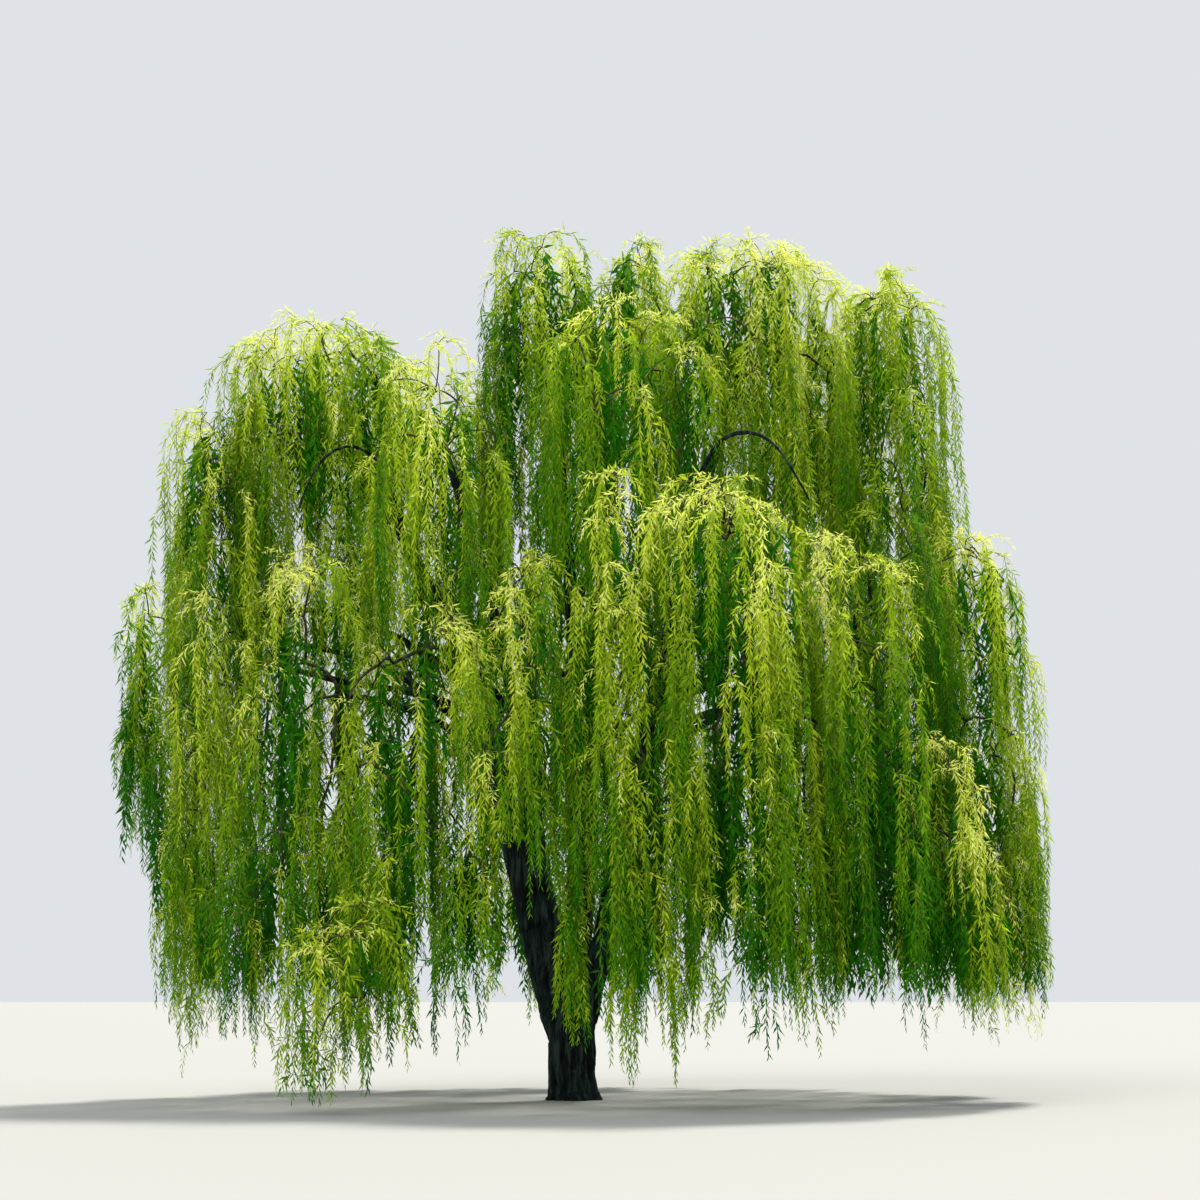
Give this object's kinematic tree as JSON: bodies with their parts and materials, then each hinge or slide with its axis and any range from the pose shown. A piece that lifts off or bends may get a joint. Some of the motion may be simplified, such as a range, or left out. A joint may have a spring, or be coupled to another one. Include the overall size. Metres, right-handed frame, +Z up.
{
  "type": "weeping willow tree",
  "caption": "Weeping willow in spring leaf, a short forked trunk carrying arching boughs and curtains of hanging foliage that reach almost to the ground.",
  "frame": {"origin": "centre of the flat cut under the trunk, at ground level", "axes": "+Z up, -Y towards the side that is seen, +X to the right of that side"},
  "size_m": [13.4851, 11.1932, 13.25],
  "materials": {
    "bark": "rough",
    "upper_foliage": "matte",
    "curtain_foliage": "matte"
  },
  "bodies": {
    "root": {"back_centre_left": "curtain_foliage", "back_centre_right": "curtain_foliage", "back_left": "curtain_foliage", "back_limb": "bark", "back_right": "curtain_foliage", "bough_to_back_centre_left": "bark", "bough_to_back_centre_right": "bark", "bough_to_back_left": "bark", "bough_to_back_right": "bark", "bough_to_front_left": "bark", "bough_to_front_left_outer": "bark", "bough_to_front_peak": "bark", "bough_to_front_plateau": "bark", "bough_to_front_right": "bark", "bough_to_front_right_low": "bark", "bough_to_front_shoulder": "bark", "bough_to_left_back_curtain": "bark", "bough_to_left_curtain": "bark", "bough_to_right_back_curtain": "bark", "bough_to_right_curtain": "bark", "bough_to_right_inner": "bark", "bough_to_top_back_left": "bark", "bough_to_top_back_right": "bark", "bough_to_top_centre_right": "bark", "bough_to_top_right_outer": "bark", "bough_to_upper_front": "bark", "bough_to_upper_left": "bark", "centre_limb": "bark", "front_left": "curtain_foliage", "front_left_outer": "curtain_foliage", "front_peak": "curtain_foliage", "front_plateau": "curtain_foliage", "front_right": "curtain_foliage", "front_right_low": "curtain_foliage", "front_shoulder": "curtain_foliage", "left_back_curtain": "curtain_foliage", "left_curtain": "curtain_foliage", "left_limb": "bark", "left_second_limb": "bark", "left_tip": "curtain_foliage", "low_left_spray": "curtain_foliage", "right_back_curtain": "curtain_foliage", "right_curtain": "curtain_foliage", "right_inner": "curtain_foliage", "right_limb": "bark", "top_back": "upper_foliage", "top_back_left": "upper_foliage", "top_back_right": "upper_foliage", "top_centre": "upper_foliage", "top_centre_right": "upper_foliage", "top_left": "upper_foliage", "top_right": "upper_foliage", "top_right_outer": "upper_foliage", "trunk": "bark", "upper_front": "upper_foliage", "upper_front_left": "upper_foliage", "upper_left": "upper_foliage"}
  },
  "joints": []
}
